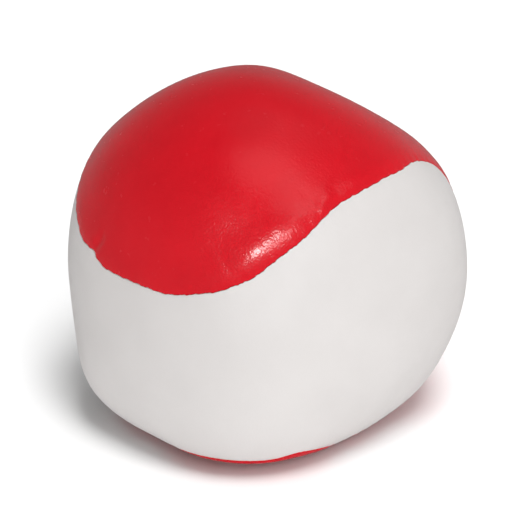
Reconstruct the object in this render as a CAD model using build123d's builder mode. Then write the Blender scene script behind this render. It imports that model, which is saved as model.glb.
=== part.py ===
from build123d import *

# Juggling ball: a soft bean bag of two figure-eight panels of imitation leather, sewn edge to
# edge along one closed seam like a baseball, and filled with loose plastic granules.
# Millimetres, +Z up. The origin is the point of the resting patch straight under the middle of
# the ball. Azimuths are counted from +X towards +Y, elevations from the horizontal, in degrees.

import os
from math import cos, pi, sin, sqrt

os.makedirs("parts", exist_ok=True)

# Driving dimensions
ball_radius = 32.0  # half the width of the ball as it stands
middle_height = 24.8  # height of the ball's middle above the floor it has slumped on
leather = 1.1  # thickness of the backed imitation leather
seam_allowance = 3.5  # width of each edge turned inside, below the leather
seam_gap = 0.1  # between the two turned edges
thread = 0.4  # diameter of the sewing thread
needle = 0.6  # diameter of the needle holes
hand_stitches = 9  # rungs of the ladder stitch that closes the filling gap
granule_diameter = 4.0
granule_length = 3.5

# The skin: an ellipsoid with soft flats where the slack panels lie straight between the lobes.
# A higher softness power makes the flats larger and their edges tighter.
softness = 9
core_radii = [1.06 * ball_radius, 0.94 * ball_radius, 1.115 * ball_radius]
flats = {  # azimuth, elevation, and distance from the middle in ball radii
    "floor": (0, -90, 0.79),
    "back_slope": (41, 55, 1.07),
    "back_under": (41, -35, 1.07),
    "left_wall": (180, 0, 1.08),
    "front_left": (229, 0, 0.86),
    "front": (270, 0, 0.92),
    "front_right": (311, -16, 0.86),
}

# The seam: how far it swings between its two ends of each panel, and where the red waist faces
seam_squareness = 0.282
seam_reach = 0.76
waist_azimuth = 42
waist_elevation = 13
closing_middle = 0.905  # place along the seam, in turns, of the hand-closed gap
closing_length = 0.10  # in turns


def direction(azimuth, elevation):
    """The unit vector at an azimuth and an elevation."""
    return Vector(1, 0, 0).rotate(Axis.Y, -elevation).rotate(Axis.Z, azimuth)


flat_planes = [(direction(az, el), reach * ball_radius) for az, el, reach in flats.values()]
middle = Vector(0, 0, middle_height)
waist = direction(waist_azimuth, waist_elevation)
lobe = direction(waist_azimuth, waist_elevation - 90)
flank = waist.cross(lobe)


def fullness(point, inset=0.0):
    """1 on the skin, or on the surface at an inset below it, and less than 1 inside."""
    arm = point - middle
    rounded = sum((c / (r - inset)) ** 2 for c, r in zip(arm, core_radii)) ** (softness / 2)
    pressed = sum((max(0, arm.dot(n)) / (d - inset)) ** softness for n, d in flat_planes)
    return (rounded + pressed) ** (1 / softness)


def skin_point(towards, inset=0.0):
    """The point of the skin in a direction from the ball's middle."""
    return middle + towards * (1 / fullness(middle + towards, inset))


def outline_point(centre, azimuth, inset):
    """The point of the skin at the height of centre, found by halving."""
    near, far = 0.0, 2 * ball_radius
    for _ in range(40):
        trial = (near + far) / 2
        if fullness(centre + direction(azimuth, 0) * trial, inset) < 1:
            near = trial
        else:
            far = trial
    return centre + direction(azimuth, 0) * near


def skin_body(inset, rings=16, spokes=24):
    """The closed body inside the skin, lofted from level outlines up to the crown."""
    sampled = (
        skin_point(direction(az, el), inset) for az in range(0, 360, 5) for el in range(60, 91)
    )
    crown = max(sampled, key=lambda point: point.Z)
    with BuildPart() as body:
        outlines = []
        for ring in range(rings):
            rise = (1 - cos(pi * ring / rings)) / 2
            height = inset + (crown.Z - inset) * rise
            centre = Vector(crown.X * rise, crown.Y * rise, height)
            points = [outline_point(centre, 360 * s / spokes, inset) for s in range(spokes)]
            with BuildSketch(Plane.XY.offset(height)) as outline:
                with BuildLine():
                    Spline(*[(point.X, point.Y) for point in points], periodic=True)
                make_face()
            outlines.append(outline.sketch.face())
        loft(sections=[*outlines, Vertex(*crown)])
    return body.part


def seam_direction(turn):
    """The direction of the seam from the ball's middle, at a place along it in turns."""
    t = 2 * pi * turn
    a, b = 1 - seam_squareness, seam_squareness
    x, y = a * cos(t) + b * cos(3 * t), a * sin(t) - b * sin(3 * t)
    across, along = (y - x) * sqrt(0.5), (y + x) * sqrt(0.5)
    return (lobe * across + flank * along + waist * (seam_reach * sin(2 * t))).normalized()


def seam_point(turn, depth, aside):
    """A point below the seam, moved aside into the red panel (or the white one if negative)."""
    towards = seam_direction(turn)
    ahead = seam_direction(turn + 0.001) - seam_direction(turn - 0.001)
    return skin_point(towards) - towards * depth + ahead.cross(towards).normalized() * aside


def seam_curve(depth, aside, points=64):
    """A closed curve that follows the seam at a depth below the skin."""
    return Spline(*[seam_point(i / points, depth, aside) for i in range(points)], periodic=True)


def turned_edge(side):
    """The edge of a panel that is turned inside at the seam: side is 1 for red, -1 for white."""
    top, foot = 0.7 * leather, leather + seam_allowance
    near, far = side * seam_gap / 2, side * (seam_gap / 2 + leather)
    corners = [seam_curve(d, a) for d, a in ((top, near), (foot, near), (foot, far), (top, far))]
    walls = [
        Face.make_surface_from_curves(corners[i], corners[(i + 1) % 4]) for i in range(4)
    ]
    return Solid(Shell(walls))


def thread_run(start, end, aside, points=160):
    """A thread laid on a turned edge from one place along the seam to another, in turns."""
    places = [start + (end - start) * i / points for i in range(points + 1)]
    route = Spline(*[seam_point(turn, stitch_depth, aside) for turn in places])
    with BuildPart() as run:
        with BuildSketch(Plane(origin=route @ 0, z_dir=route % 0)):
            Circle(thread / 2)
        sweep(path=route)
    return run.part


# The threads lie against the outer faces of the two turned edges
stitch_depth = leather + 1.0
thread_aside = seam_gap / 2 + leather + thread / 2 + 0.12
closing_start = closing_middle - closing_length / 2
closing_end = closing_middle + closing_length / 2
rung_places = [
    closing_start + closing_length * (rung + 0.5) / hand_stitches for rung in range(hand_stitches)
]

# The hand stitches are a ladder: rungs through both turned edges, joined by short rails that
# change sides from one rung to the next
ladder = [
    seam_point(turn, stitch_depth, end * thread_aside)
    for rung, turn in enumerate(rung_places)
    for end in ((-1, 1) if rung % 2 else (1, -1))
]
with BuildPart() as closing_thread:
    for start, end in zip(ladder, ladder[1:]):
        with Locations(Plane(origin=start, z_dir=end - start)):
            Cylinder(thread / 2, (end - start).length, align=(Align.CENTER, Align.CENTER, Align.MIN))
    with Locations(*ladder):
        Sphere(thread / 2)
closing_thread.part.label = "closing_thread"
export_step(closing_thread.part, "parts/closing_thread.step")

# The holes that the hand needle made
with BuildPart() as needle_holes:
    for turn in rung_places:
        start, end = (seam_point(turn, stitch_depth, side * 2 * leather) for side in (-1, 1))
        with Locations(Plane(origin=start, z_dir=end - start)):
            Cylinder(needle / 2, (end - start).length, align=(Align.CENTER, Align.CENTER, Align.MIN))

# The two panels: the skin is split along a ruled surface from the middle through the seam
seam_rays = [
    Spline(*[middle + seam_direction(i / 48) * reach for i in range(48)], periodic=True)
    for reach in (0.4 * ball_radius, 1.6 * ball_radius)
]
with BuildPart() as skin:
    add(skin_body(0))
    add(skin_body(leather), mode=Mode.SUBTRACT)
    split(bisect_by=Face.make_surface_from_curves(*seam_rays), keep=Keep.ALL)

for name, side in (("red_panel", 1), ("white_panel", -1)):
    just_inside = seam_point(0, leather / 2, side * leather)
    with BuildPart() as panel:
        add([part for part in skin.solids() if part.is_inside(just_inside)])
        add(turned_edge(side))
        add(needle_holes.part, mode=Mode.SUBTRACT)
    panel.part.label = name
    export_step(panel.part, f"parts/{name}.step")

# The lockstitch: the needle thread on the red edge and the bobbin thread on the white one
for name, side in (("needle_thread", 1), ("bobbin_thread", -1)):
    run = thread_run(closing_end, 1 + closing_start, side * thread_aside)
    run.label = name
    export_step(run, f"parts/{name}.step")

# The filling: granules tilted every way on a close-packed lattice, clear of the turned edges
granule_reach = sqrt(granule_diameter**2 + granule_length**2) / 2  # from middle to rim
pitch = 2 * granule_reach + 0.1
clear_of_skin = leather + granule_reach + 0.2
clear_of_seam = granule_reach + 0.75 * seam_allowance
edge_middles = [seam_point(i / 160, leather + seam_allowance / 2, 0) for i in range(160)]


def has_room(point):
    """Whether a granule fits at a point whatever its tilt."""
    return fullness(point, clear_of_skin) < 1 and all(
        (point - edge).length > clear_of_seam for edge in edge_middles
    )


count = int(ball_radius / pitch) + 2
lattice = [
    middle + Vector(i + (j + k) % 2 / 2, (j + k % 2 / 3) * sqrt(3) / 2, k * sqrt(2 / 3)) * pitch
    for k in range(-count, count + 1)
    for j in range(-count, count + 1)
    for i in range(-count, count + 1)
]
with BuildPart() as granule:
    Cylinder(granule_diameter / 2, granule_length)
filling = Compound(
    [
        granule.part.solid().moved(Location(point, (67 * n % 180, 137.5 * n % 360, 0)))
        for n, point in enumerate(filter(has_room, lattice))
    ]
)
filling.label = "filling"
export_step(filling, "parts/filling.step")
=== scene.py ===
import math

import bmesh
import bpy
import numpy as np
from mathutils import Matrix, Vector
from mathutils.bvhtree import BVHTree
from mathutils.geometry import delaunay_2d_cdt
from mathutils.kdtree import KDTree


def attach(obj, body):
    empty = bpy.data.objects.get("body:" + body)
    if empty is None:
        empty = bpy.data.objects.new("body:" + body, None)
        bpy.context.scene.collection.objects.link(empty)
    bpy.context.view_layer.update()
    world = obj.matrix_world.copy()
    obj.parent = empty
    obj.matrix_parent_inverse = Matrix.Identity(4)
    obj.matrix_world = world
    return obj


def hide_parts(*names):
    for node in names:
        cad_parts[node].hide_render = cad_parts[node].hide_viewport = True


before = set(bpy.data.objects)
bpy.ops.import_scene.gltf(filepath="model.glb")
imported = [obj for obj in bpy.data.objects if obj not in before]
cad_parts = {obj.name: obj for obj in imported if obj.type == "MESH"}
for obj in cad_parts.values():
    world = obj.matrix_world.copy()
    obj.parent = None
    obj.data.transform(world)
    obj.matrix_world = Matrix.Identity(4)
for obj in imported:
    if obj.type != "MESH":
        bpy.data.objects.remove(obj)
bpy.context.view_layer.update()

# A soft juggling ball: two figure-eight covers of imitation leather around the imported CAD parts.
# Lengths are in metres, as in the frame; MM turns millimetres into metres. Azimuths are counted
# from +X towards +Y and elevations from the horizontal, in degrees.

MM = 0.001
RADIUS = 32.0 * MM  # the nominal radius that the ball's shape is scaled from
MIDDLE = np.array([0.0, 0.0, 24.8 * MM])  # of the ball

# The seam, as the CAD parts have it
SEAM_SQUARENESS = 0.282
SEAM_REACH = 0.76
WAIST_AZIMUTH, WAIST_ELEVATION = 42.0, 13.0

# The leather and its edges
LEATHER = 1.1 * MM
ALLOWANCE = 3.5 * MM  # width of the turned-in edge
SEAM_GAP = 0.04 * MM
STITCH = 2.15 * MM  # length of a stitch
SEAM_LENGTH = 320 * MM  # roughly, for the easing of corners
EDGE_POINTS = 1200  # along the seam
FINE_POINTS = 4000  # along the seam, for measuring it
HELD_POINTS = 600  # along the seam, for holding it in the simulation


def unit(vectors):
    return vectors / np.linalg.norm(vectors, axis=-1, keepdims=True)


def aim(azimuth, elevation):
    """The unit vector at an azimuth and an elevation."""
    a, e = math.radians(azimuth), math.radians(elevation)
    return np.array([math.cos(e) * math.cos(a), math.cos(e) * math.sin(a), math.sin(e)])


# ---------------------------------------------------------------------------------------------
# Camera, light and floor

CAMERA_ELEVATION = 28.0
CAMERA_DISTANCE = 14 * RADIUS
CAMERA_RAISED, CAMERA_ASIDE = 1.75 * MM, 0.68 * MM  # middle of the view from the ball's middle
LENS, SENSOR = 188.0, 36.0
CLIP_START = 0.01

# Softboxes: name, azimuth, elevation, distance in metres, side in metres, power in watts, and
# whether each lights surfaces and whether it is mirrored in them
SOFTBOXES = [
    ("top", 60, 76, 1.1, 0.7, 4.9, True, False),
    ("front_right", -50, 45, 1.1, 0.6, 3.5, True, True),
    ("front_low", -97, 12, 1.2, 0.5, 2.8, True, False),
    ("front_high", -72, 35, 1.2, 0.5, 2.7, True, False),
    ("glint", -97, 12, 1.2, 0.38, 42.0, False, True),
    ("glint_right", -72, 10, 1.2, 0.3, 8.0, False, True),
    ("sheen", -85, 68, 1.1, 0.6, 3.5, False, True),
]
SIDE_GLOW, END_GLOW = 0.44, 0.25  # radiance of the room beside the ball, and before and behind it
SWEEP_LIGHT = (-66, 69, 22, 2.8)  # azimuth, elevation and width in degrees, and strength
FLOOR_REACH = 4.0  # metres from its middle to each side
FLOOR_GREY, FLOOR_ROUGHNESS, FLOOR_SPECULAR = 0.65, 0.9, 0.1


def add_camera():
    """A long lens in front of the ball, looking down at it."""
    e = math.radians(CAMERA_ELEVATION)
    up = np.array([0, math.sin(e), math.cos(e)])
    target = MIDDLE + up * CAMERA_RAISED + np.array([CAMERA_ASIDE, 0, 0])
    data = bpy.data.cameras.new("camera")
    data.lens, data.sensor_width = LENS, SENSOR
    data.clip_start = CLIP_START
    camera = bpy.data.objects.new("camera", data)
    bpy.context.collection.objects.link(camera)
    camera.location = Vector(target - aim(90, -CAMERA_ELEVATION) * CAMERA_DISTANCE)
    camera.rotation_euler = (math.radians(90 - CAMERA_ELEVATION), 0, 0)
    bpy.context.scene.camera = camera


def add_softbox(name, azimuth, elevation, distance, size, power, lights, mirrored):
    """A square area light that faces the ball."""
    data = bpy.data.lights.new(name, "AREA")
    data.shape, data.size, data.energy = "SQUARE", size, power
    light = bpy.data.objects.new(name, data)
    bpy.context.collection.objects.link(light)
    place = aim(azimuth, elevation) * distance
    light.location = Vector(MIDDLE + place)
    light.rotation_euler = Vector(place).to_track_quat("Z", "Y").to_euler()
    light.visible_diffuse, light.visible_glossy = lights, mirrored


def add_studio():
    """A room that glows at its sides and ends, the softboxes and a pale floor."""
    world = bpy.data.worlds.new("studio")
    bpy.context.scene.world = world
    world.use_nodes = True
    tree = world.node_tree
    coordinates = add_node(tree, "ShaderNodeTexCoord")
    split = add_node(tree, "ShaderNodeSeparateXYZ")
    tree.links.new(coordinates.outputs["Generated"], split.inputs["Vector"])
    beside = combine(tree, "MULTIPLY", combine(tree, "ABSOLUTE", split.outputs["X"], 0), SIDE_GLOW)
    ends = combine(tree, "MULTIPLY", combine(tree, "ABSOLUTE", split.outputs["Y"], 0), END_GLOW)
    glow = combine(tree, "ADD", beside, ends)
    tree.links.new(glow, tree.nodes["Background"].inputs["Strength"])
    tree.nodes["Background"].inputs["Color"].default_value = (1, 1, 1, 1)
    for softbox in SOFTBOXES:
        add_softbox(*softbox)
    bpy.context.scene.view_settings.view_transform = "Standard"

    mesh = bpy.data.meshes.new("floor")
    corners = ((-1, -1), (1, -1), (1, 1), (-1, 1))
    places = [(x * FLOOR_REACH, y * FLOOR_REACH, 0) for x, y in corners]
    mesh.from_pydata(places, [], [(0, 1, 2, 3)])
    floor = bpy.data.objects.new("floor", mesh)
    bpy.context.collection.objects.link(floor)
    material = bpy.data.materials.new("floor")
    material.use_nodes = True
    shader = material.node_tree.nodes["Principled BSDF"]
    shader.inputs["Base Color"].default_value = (FLOOR_GREY, FLOOR_GREY, FLOOR_GREY, 1)
    shader.inputs["Roughness"].default_value = FLOOR_ROUGHNESS
    shader.inputs["Specular IOR Level"].default_value = FLOOR_SPECULAR
    mesh.materials.append(material)
    floor.visible_glossy = False  # keeps the leather's colour deep towards its rims

    # A broad light on the floor alone keeps the sweep white around the ball
    azimuth, elevation, width, strength = SWEEP_LIGHT
    data = bpy.data.lights.new("sweep_light", "SUN")
    data.energy, data.angle = strength, math.radians(width)
    light = bpy.data.objects.new("sweep_light", data)
    bpy.context.collection.objects.link(light)
    light.rotation_euler = Vector(aim(azimuth, elevation)).to_track_quat("Z", "Y").to_euler()
    lit = bpy.data.collections.new("lit_by_sweep_light")
    lit.objects.link(floor)
    light.light_linking.receiver_collection = lit


# ---------------------------------------------------------------------------------------------
# Materials

# Sizes of the leather's patterns, in features per millimetre
MOTTLING, WEAR, PEBBLES, PORES = 0.09, 0.6, 2.4, 2.8
PEBBLE_SHARE = -0.25  # height of the pebbles against the pores
LEATHER_SPECULAR = 0.10
COAT_ROUGHNESS = 0.14


def add_node(tree, kind, settings=None, **inputs):
    """A node with its properties and unlinked inputs set."""
    node = tree.nodes.new(kind)
    for key, value in (settings or {}).items():
        setattr(node, key, value)
    for key, value in inputs.items():
        node.inputs[key.replace("_", " ")].default_value = value
    return node


def millimetres(tree):
    """Object coordinates in millimetres."""
    coordinates = add_node(tree, "ShaderNodeTexCoord")
    mapping = add_node(tree, "ShaderNodeMapping", Scale=(1 / MM, 1 / MM, 1 / MM))
    tree.links.new(coordinates.outputs["Object"], mapping.inputs["Vector"])
    return mapping.outputs["Vector"]


def noise(tree, place, per_mm, detail=2.0, roughness=0.5):
    """A noise pattern at a number of features per millimetre."""
    node = add_node(tree, "ShaderNodeTexNoise", Scale=per_mm, Detail=detail, Roughness=roughness)
    tree.links.new(place, node.inputs["Vector"])
    return node.outputs["Fac"]


def ramp(tree, value, stops):
    """A colour that follows a value between stops."""
    node = add_node(tree, "ShaderNodeValToRGB")
    elements = node.color_ramp.elements
    while len(elements) < len(stops):
        elements.new(0.5)
    for element, (at, colour) in zip(elements, stops):
        element.position, element.color = at, (*colour, 1)
    tree.links.new(value, node.inputs["Fac"])
    return node.outputs["Color"]


def spread(tree, value, low, high, out_low, out_high):
    """A value between low and high mapped to between out_low and out_high."""
    node = add_node(tree, "ShaderNodeMapRange")
    keys = ("From Min", "From Max", "To Min", "To Max")
    for key, number in zip(keys, (low, high, out_low, out_high)):
        node.inputs[key].default_value = number
    tree.links.new(value, node.inputs["Value"])
    return node.outputs["Result"]


def combine(tree, operation, first, second):
    """A math operation on two values, each a number or a socket."""
    node = add_node(tree, "ShaderNodeMath", {"operation": operation})
    for socket, value in zip(node.inputs, (first, second)):
        if isinstance(value, (int, float)):
            socket.default_value = value
        else:
            tree.links.new(value, socket)
    return node.outputs["Value"]


def leather(name, tones, shine, grain_height, coat):
    """Imitation leather: fine pebble grain and pores, slow mottling and patches of wear."""
    material = bpy.data.materials.new(name)
    material.use_nodes = True
    tree = material.node_tree
    shader = tree.nodes["Principled BSDF"]
    place = millimetres(tree)
    mottle = noise(tree, place, MOTTLING, 3.0, 0.55)
    tree.links.new(ramp(tree, mottle, tones), shader.inputs["Base Color"])
    patch = noise(tree, place, WEAR, 4.0, 0.6)
    tree.links.new(spread(tree, patch, 0.3, 0.7, *shine), shader.inputs["Roughness"])
    settings = {"feature": "SMOOTH_F1"}
    pebble = add_node(tree, "ShaderNodeTexVoronoi", settings, Scale=PEBBLES, Smoothness=0.4)
    tree.links.new(place, pebble.inputs["Vector"])
    pores = noise(tree, place, PORES, 2.0, 0.5)
    pebbles = combine(tree, "MULTIPLY", pebble.outputs["Distance"], PEBBLE_SHARE)
    grain = combine(tree, "ADD", pebbles, pores)
    bump = add_node(tree, "ShaderNodeBump", Strength=1.0, Distance=grain_height)
    tree.links.new(grain, bump.inputs["Height"])
    tree.links.new(bump.outputs["Normal"], shader.inputs["Normal"])
    tree.links.new(bump.outputs["Normal"], shader.inputs["Coat Normal"])
    shader.inputs["Specular IOR Level"].default_value = LEATHER_SPECULAR
    shader.inputs["Coat Weight"].default_value = coat
    shader.inputs["Coat Roughness"].default_value = COAT_ROUGHNESS
    return material


def plain(name, tones, roughness, per_mm, height):
    """A simple mottled, finely rough finish for the pieces inside."""
    material = bpy.data.materials.new(name)
    material.use_nodes = True
    tree = material.node_tree
    shader = tree.nodes["Principled BSDF"]
    place = millimetres(tree)
    tree.links.new(ramp(tree, noise(tree, place, per_mm), tones), shader.inputs["Base Color"])
    bump = add_node(tree, "ShaderNodeBump", Strength=0.6, Distance=height)
    tree.links.new(noise(tree, place, per_mm * 3), bump.inputs["Height"])
    tree.links.new(bump.outputs["Normal"], shader.inputs["Normal"])
    shader.inputs["Roughness"].default_value = roughness
    return material


# ---------------------------------------------------------------------------------------------
# The seam

WAIST = aim(WAIST_AZIMUTH, WAIST_ELEVATION)
LOBE = aim(WAIST_AZIMUTH, WAIST_ELEVATION - 90)
FLANK = np.cross(WAIST, LOBE)


def seam_directions(turns):
    """Directions of the seam from the ball's middle at places along it, in turns."""
    t = 2 * math.pi * np.asarray(turns)
    a, b = 1 - SEAM_SQUARENESS, SEAM_SQUARENESS
    x, y = a * np.cos(t) + b * np.cos(3 * t), a * np.sin(t) - b * np.sin(3 * t)
    across, along = (y - x) * math.sqrt(0.5), (y + x) * math.sqrt(0.5)
    parts = np.stack([across, along, SEAM_REACH * np.sin(2 * t)], -1)
    return unit(parts @ np.stack([LOBE, FLANK, WAIST]))


# ---------------------------------------------------------------------------------------------
# The stuffed skin

def cad_radii(directions):
    """Distance of the CAD skin from the middle in each direction."""
    points, faces = [], []
    for node in ("red_panel", "white_panel"):
        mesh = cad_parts[node].data
        start = len(points)
        points += [vertex.co.copy() for vertex in mesh.vertices]
        faces += [[start + i for i in polygon.vertices] for polygon in mesh.polygons]
    tree = BVHTree.FromPolygons(points, faces)
    reach = 2 * RADIUS
    middle = Vector(MIDDLE)
    radii = []
    for d in directions:
        hit = tree.ray_cast(middle + Vector(d) * reach, -Vector(d))
        radii.append((hit[0] - middle).length)
    return np.array(radii)


class Skin:
    """The outside of the stuffed ball as a smooth distance from its middle in any direction."""

    def __init__(self, directions, radii, blur):
        self.radii, self.blur = radii, blur
        self.tree = KDTree(len(directions))
        for i, d in enumerate(directions):
            self.tree.insert(d, i)
        self.tree.balance()

    def __call__(self, directions):
        out = np.empty(len(directions))
        for k, d in enumerate(directions):
            near = self.tree.find_n(d, NEIGHBOURS)
            weights = [math.exp(-((distance / self.blur) ** 2)) for _, _, distance in near]
            total = sum(w * self.radii[i] for w, (_, i, _) in zip(weights, near))
            out[k] = total / sum(weights)
        return out


SIM_SCALE = 10  # cloth behaves better on a larger copy
SIM_FRAMES = 20
PRESSURE = 30.0
SLACK = 0.25 * MM  # how much smaller the covers start, away from the seam
MOST_SWELL = 0.8 * MM
HELD_WIDTH = 1.6 * MM  # beside the seam
STANDING_HEIGHT = 0.4 * MM  # what lies lower rests on the floor and is held
NEIGHBOURS, SKIN_BLUR = 18, 1.5 * MM  # points that the skin is averaged over, and how far


def stuffed_skin():
    """The CAD skin after the filling has swollen it, with its bulges."""
    ball = bmesh.new()
    bmesh.ops.create_icosphere(ball, subdivisions=6, radius=1)
    directions = unit(np.array([v.co[:] for v in ball.verts]))
    radii = cad_radii(directions)
    radii = swell(ball, directions, radii)
    ball.free()
    for azimuth, elevation, height, width in BULGES:
        angle = np.arccos(np.clip(directions @ aim(azimuth, elevation), -1, 1))
        radii = radii + height * MM * np.exp(-((angle / math.radians(width)) ** 2))
    return Skin(directions, radii, SKIN_BLUR / RADIUS)


def swell(ball, directions, radii):
    """Radii after a pressure simulation with the seam held, each moved by no more than a cap."""
    seam = KDTree(HELD_POINTS)
    for i, d in enumerate(seam_line(np.arange(HELD_POINTS) / HELD_POINTS)):
        seam.insert(d, i)
    seam.balance()
    from_seam = np.array([seam.find(d)[2] for d in directions]) * radii
    held = np.exp(-((from_seam / HELD_WIDTH) ** 2))
    standing = MIDDLE[2] + directions[:, 2] * radii < STANDING_HEIGHT
    start = radii - SLACK * (1 - held) * (1 - standing)
    for vertex, d, r in zip(ball.verts, directions, start):
        vertex.co = Vector(d * r * SIM_SCALE)
    mesh = bpy.data.meshes.new("swelling")
    ball.to_mesh(mesh)
    copy = bpy.data.objects.new("swelling", mesh)
    bpy.context.collection.objects.link(copy)
    group = copy.vertex_groups.new(name="held")
    for i, weight in enumerate(np.maximum(held, standing)):
        group.add([i], float(weight), "REPLACE")
    cloth = copy.modifiers.new("cloth", "CLOTH")
    settings = cloth.settings
    settings.quality = 6
    settings.mass = 0.02
    settings.tension_stiffness = settings.compression_stiffness = 12
    settings.shear_stiffness = 5
    settings.bending_stiffness = 0.5
    settings.use_pressure = True
    settings.uniform_pressure_force = PRESSURE
    settings.effector_weights.gravity = 0
    settings.vertex_group_mass = "held"
    cloth.point_cache.frame_start, cloth.point_cache.frame_end = 1, SIM_FRAMES
    for step in range(1, SIM_FRAMES + 1):
        bpy.context.scene.frame_set(step)
    shape = copy.evaluated_get(bpy.context.evaluated_depsgraph_get()).to_mesh()
    moved = np.array([v.co[:] for v in shape.vertices]) / SIM_SCALE
    bpy.context.scene.frame_set(1)
    bpy.data.objects.remove(copy)
    return start + np.clip(np.linalg.norm(moved, axis=1) - start, 0, MOST_SWELL)


# ---------------------------------------------------------------------------------------------
# The covers

# Rows of vertices from the middle of a panel to its edge: distance from the seam in millimetres
SKIN_ROWS = [
    8, 7, 6, 5.1, 4.3, 3.6, 3.0, 2.4, 1.9, 1.5, 1.15, 0.85, 0.6, 0.42, 0.28, 0.17, 0.09, 0.03,
]
LAST_INNER_ROW = 1.9  # from here to the seam, the inside of the skin gives way to the edge
MIDDLE_ROWS = [(0.7, 2), (1.6, 4)]  # beyond the first row: distance, and every how many points
MIDDLE_FROM = 2.3  # beyond the first row, in millimetres
EDGE_ROWS = [0.8, 1.5, 2.5, 3.5, 4.4]  # depths down the turned edge in millimetres
# How each cover, 1 for red and -1 for white, meets the seam: radius of the tight roll into it, and
# depth and width of the soft shoulder before it
ROLL = {1: 0.26 * MM, -1: 0.06 * MM}
SHOULDER = {1: (0.30 * MM, 3.2 * MM), -1: (0.0, 2.6 * MM)}
PROUD = {1: 0.30 * MM, -1: 0.0}  # how far each cover stands up beside the seam
PROUD_WIDTH = 4.5 * MM
PUCKER, PUCKER_WIDTH = 0.04 * MM, 1.5 * MM  # depth at each stitch, and reach into the cover
SCALLOP, FRAY, DRIFT = 0.055, 0.03, 0.03  # waves of the edge in millimetres
FRAY_WAVES, DRIFT_WAVES = (3, 250, 420), (5, 20, 60)  # seed, first and last wave on the seam
WANDER_WIDTH, WANDER_DEPTH = 1.3 * MM, 2 * MM  # reach of those waves into the cover and the edge
EASING = 0.45  # how fast the seam's corners are eased with distance from it
EDGE_EASING = 0.5 * MM
FOLD_END = 0.35  # height of a fold at its ends against its middle
GRAIN_POINTS = 0.9 * MM  # distance between points in the middle of a panel

# Folds of the covers: from and to as azimuth and elevation, height and width in millimetres
FOLDS = [
    ((-101, 30), (-85, 38.5), 0.60, 3.2),  # the roll of leather over the front seam
    ((-89, 37), (-71, 48), 0.55, 2.9),
    ((-68.5, 43), (-62, 50), 0.40, 1.2),  # a tuck that rises from the seam
    ((-60, 48.5), (-39, 49.5), 0.20, 1.6),  # the soft band behind the right tip
    ((-39, 49.5), (-10, 46), 0.16, 1.6),
    ((-157, 21), (-153, 27), -0.40, 0.7),  # the crease beside the closing step
]

# Where the stuffing stands out or falls short of the CAD skin: azimuth, elevation, height in
# millimetres and width in degrees
BULGES = [
    (90, 62, 1.05, 13),  # peak of the crown
    (21, 35, 0.60, 11),  # shoulder at the right
    (48, 54, -0.50, 12),  # flat slope between them
    (141, 50, -0.45, 15),  # flatter crown at the left
    (196, -26, 0.90, 10),  # lower left corner
    (219, -50, -0.60, 13),
    (338, -35, -0.35, 14),
    (5, 9, -0.30, 12),
    (185, -9, -0.30, 10),
    (270, -60, 0.15, 12),
]

# Where the seam wanders from its drawn line: place in turns, millimetres into the red, and width
# in turns
WANDERS = [
    (0.368, 3.0, 0.022),  # under the lower left
    (0.418, -0.3, 0.015),  # the sliver of red in front
    (0.449, -1.2, 0.010),
    (0.483, 2.8, 0.014),  # under the lower right
    (0.520, 4.2, 0.028),
    (0.668, 0.40, 0.014),
    (0.703, -0.15, 0.008),
    (0.725, -0.30, 0.006),
    (0.710, -0.65, 0.013),
    (0.752, 0.65, 0.012),
    (0.808, -0.7, 0.017),
    (0.825, -0.20, 0.008),
    (0.862, 0.20, 0.006),
    (0.873, 0.6, 0.012),
    (0.896, -0.40, 0.005),  # the step where the filling gap was sewn up
    (0.9055, 0.50, 0.0025),
    (0.916, -0.50, 0.005),
    (0.934, -0.25, 0.008),
]

# Colours at two values of the mottling
RED_TONES = [(0.25, (0.54, 0.005, 0.012)), (0.75, (0.60, 0.007, 0.015))]
WHITE_TONES = [(0.25, (0.60, 0.575, 0.565)), (0.75, (0.63, 0.605, 0.595))]


def seam_line(turns):
    """Directions of the seam with its wander."""
    turns = np.asarray(turns)
    drawn = seam_directions(turns)
    ahead = seam_directions(turns + 0.001) - seam_directions(turns - 0.001)
    into = unit(np.cross(ahead, drawn))
    shift = sum(
        amount * MM * bump_at(turns, place, width) for place, amount, width in WANDERS
    ) / RADIUS
    return drawn * np.cos(shift)[:, None] + into * np.sin(shift)[:, None]


def softened(around, reach):
    """The directions after corners are eased, and their way into the red panel."""
    waves = np.fft.rfft(around, axis=0)
    steps = reach / (SEAM_LENGTH / EDGE_POINTS)
    ease = np.exp(-0.5 * (2 * math.pi * np.arange(len(waves)) / EDGE_POINTS * steps) ** 2)
    eased = unit(np.fft.irfft(waves * ease[:, None], EDGE_POINTS, axis=0))
    return eased, unit(np.cross(np.roll(eased, -1, 0) - np.roll(eased, 1, 0), eased))


def seam_frame(skin):
    """Evenly spaced places along the seam as turns, the seam's length, and their directions."""
    fine = np.arange(FINE_POINTS + 1) / FINE_POINTS
    around = seam_line(fine[:-1])
    points = around * skin(around)[:, None]
    steps = np.linalg.norm(np.roll(points, -1, 0) - points, axis=1)
    run = np.r_[0, np.cumsum(steps)]
    turns = np.interp(np.arange(EDGE_POINTS) / EDGE_POINTS * run[-1], run, fine)
    return turns, run[-1], seam_line(turns)


def waver(turns, seed, first, last):
    """A smooth wander along the closed seam, of about unit height, made of waves first to last."""
    rng = np.random.default_rng(seed)
    total = np.zeros_like(turns)
    for n in range(first, last + 1):
        total += rng.normal() * np.sin(2 * math.pi * (n * turns + rng.random()))
    return total / math.sqrt((last - first + 1) / 2)


def bump_at(turns, place, width):
    """1 at a place along the seam, falling away over a width, both in turns."""
    gap = (turns - place + 0.5) % 1 - 0.5
    return np.exp(-((gap / width) ** 2))


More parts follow.
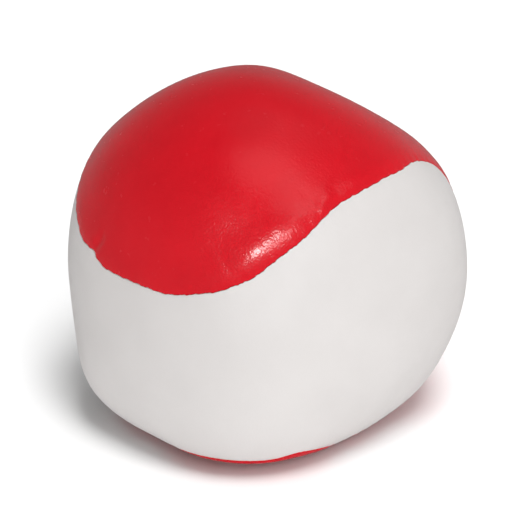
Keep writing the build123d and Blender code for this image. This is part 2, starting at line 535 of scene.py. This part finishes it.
def relief(directions):
    """Folds of the covers: height over the skin, in metres."""
    total = np.zeros(len(directions))
    for (a0, e0), (a1, e1), height, width in FOLDS:
        start, end = aim(a0, e0), aim(a1, e1)
        along = end - start
        share = np.clip((directions - start) @ along / (along @ along), 0, 1)
        away = np.linalg.norm(directions - unit(start + share[:, None] * along), axis=1) * RADIUS
        ridge = height * MM * (FOLD_END + (1 - FOLD_END) * np.sin(math.pi * share))
        total += ridge * np.exp(-((away / (width * MM)) ** 2))
    return total


def groove(q, side):
    """Height of a cover near its edge, where it rolls down into the seam."""
    radius = ROLL[side]
    drop = radius - np.sqrt(np.maximum(radius**2 - np.maximum(radius - q, 0) ** 2, 0))
    depth, width = SHOULDER[side]
    shoulder = depth * max(0, 1 - q / width) ** 2
    return PROUD[side] * math.exp(-((q / PROUD_WIDTH) ** 2)) - shoulder - drop


def fibonacci(count):
    """Evenly spread directions."""
    i = np.arange(count) + 0.5
    z = 1 - 2 * i / count
    turn = i * math.pi * (3 - math.sqrt(5))
    flat = np.sqrt(1 - z * z)
    return np.stack([flat * np.cos(turn), flat * np.sin(turn), z], -1)


def chart(directions, side):
    """A flat map of the sphere about a panel's waist."""
    forward = WAIST * side
    scale = 2 / (1 + directions @ forward)
    return np.stack([directions @ LOBE, directions @ FLANK * side], -1) * scale[:, None]


def grounded(points):
    """Points brought up to the floor."""
    points[:, 2] = np.maximum(points[:, 2], 0)
    return points


def build_cover(side, name, skin, seam):
    """One figure-eight cover with its turned-in edge, as a closed mesh."""
    turns, length, edge = seam
    into = softened(edge, EDGE_EASING)[1] * side
    phase = np.arange(EDGE_POINTS) / EDGE_POINTS * round(length / STITCH)
    stitch = np.cos(2 * math.pi * phase)
    fray, drift = waver(turns, *FRAY_WAVES), waver(turns, *DRIFT_WAVES)
    wander = side * (SCALLOP * stitch + FRAY * fray + DRIFT * drift) * MM

    points, layers = [], []

    def ring(place):
        layers.append(np.arange(EDGE_POINTS) + sum(map(len, points)))
        points.append(place)

    def skin_ring(q, inset):
        shift = (q + wander * math.exp(-q / WANDER_WIDTH)) / RADIUS
        eased, aside = softened(edge, EASING * q)
        d = eased * np.cos(shift)[:, None] + aside * side * np.sin(shift)[:, None]
        r = skin(d) + relief(d) + groove(q, side) - inset
        r = r - PUCKER * (0.5 + 0.5 * stitch) * math.exp(-((q / PUCKER_WIDTH) ** 2))
        ring(d * r[:, None] + MIDDLE)

    def edge_ring(depth, aside):
        shift = aside + wander * math.exp(-depth / WANDER_DEPTH)
        ring(edge * (skin(edge) - depth)[:, None] + into * shift[:, None] + MIDDLE)

    for q in SKIN_ROWS:
        skin_ring(q * MM, 0)
    for depth in EDGE_ROWS:
        edge_ring(depth * MM, SEAM_GAP / 2)
    edge_ring(LEATHER + ALLOWANCE, SEAM_GAP / 2 + 0.25 * LEATHER)
    edge_ring(LEATHER + ALLOWANCE, SEAM_GAP / 2 + 0.75 * LEATHER)
    for depth in EDGE_ROWS[:1:-1]:
        edge_ring(depth * MM, SEAM_GAP / 2 + LEATHER)
    for q in SKIN_ROWS[::-1]:
        if q > LAST_INNER_ROW:
            skin_ring(q * MM, LEATHER)
    faces = []
    for outer, inner in zip(layers, layers[1:]):
        nxt_outer, nxt_inner = np.roll(outer, -1), np.roll(inner, -1)
        faces += np.stack([outer, nxt_outer, nxt_inner, inner], -1)[:, ::side].tolist()

    # The middle of the panel, outside and inside
    first = points[0] - MIDDLE
    rim = unit(first)
    polygon = chart(rim, side)
    spread_out = []
    for beyond, step in MIDDLE_ROWS:
        q = (SKIN_ROWS[0] + beyond) * MM
        shift = q / RADIUS
        eased, aside = softened(edge, EASING * q)
        spread_out.append(unit(eased * math.cos(shift) + aside * side * math.sin(shift))[::step])
    seam_tree = KDTree(EDGE_POINTS)
    for i, d in enumerate(edge):
        seam_tree.insert(d, i)
    seam_tree.balance()
    for d in fibonacci(int(4 * math.pi * (RADIUS / GRAIN_POINTS) ** 2)):
        _, i, gap = seam_tree.find(d)
        if gap * RADIUS > (SKIN_ROWS[0] + MIDDLE_FROM) * MM and into[i] @ d > 0:
            spread_out.append(d[None])
    inner_dirs = np.concatenate(spread_out)
    flat = np.concatenate([polygon, chart(inner_dirs, side)])
    border = list(range(EDGE_POINTS))
    spots = [Vector(p) for p in flat]
    joined, _, tris, origins = delaunay_2d_cdt(spots, [], [border], 1, 1e-7)[:4]
    assert len(joined) == len(flat), "the panel's points merged"
    source = [o[0] for o in origins]
    r = skin(inner_dirs) + relief(inner_dirs)
    for r_now, rim_ids, flip in ((r, layers[0], side), (r - LEATHER, layers[-1], -side)):
        start = sum(map(len, points))
        points.append(inner_dirs * r_now[:, None] + MIDDLE)
        look = np.concatenate([rim_ids, start + np.arange(len(inner_dirs))])
        for tri in tris:
            ids = [int(look[source[i]]) for i in tri]
            faces.append(ids if flip > 0 else ids[::-1])

    all_points = grounded(np.concatenate(points))
    mesh = bpy.data.meshes.new(name)
    mesh.from_pydata(all_points.tolist(), [], faces)
    mesh.validate()
    outward = bmesh.new()
    outward.from_mesh(mesh)
    bmesh.ops.recalc_face_normals(outward, faces=outward.faces)
    outward.to_mesh(mesh)
    outward.free()
    for polygon in mesh.polygons:
        polygon.use_smooth = True
    cover = bpy.data.objects.new(name, mesh)
    bpy.context.collection.objects.link(cover)
    return cover


# ---------------------------------------------------------------------------------------------
# The scene

add_camera()
add_studio()
skin = stuffed_skin()
seam = seam_frame(skin)

red = build_cover(1, "red_cover", skin, seam)
white = build_cover(-1, "white_cover", skin, seam)
# Leathers: tones, least and most roughness, height of the grain, and coat
red.data.materials.append(leather("red_leather", RED_TONES, (0.20, 0.28), 0.046 * MM, 0.1))
white.data.materials.append(leather("white_leather", WHITE_TONES, (0.42, 0.55), 0.015 * MM, 0.0))
covers = ((red, "red_panel", "red_leather"), (white, "white_panel", "white_leather"))
for cover, node, slot in covers:
    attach(cover, "root")
    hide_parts(node)

THREAD_TONES = [(0.3, (0.70, 0.68, 0.64)), (0.7, (0.78, 0.76, 0.73))]
GRANULE_TONES = [(0.3, (0.76, 0.78, 0.76)), (0.7, (0.83, 0.85, 0.83))]
thread = plain("thread", THREAD_TONES, 0.7, 4.0, 0.05 * MM)
granules = plain("granules", GRANULE_TONES, 0.3, 0.5, 0.02 * MM)
finishes = {
    "needle_thread": thread, "bobbin_thread": thread, "closing_thread": thread,
    "filling": granules,
}
for node, material in finishes.items():
    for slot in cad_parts[node].material_slots:
        slot.material = material
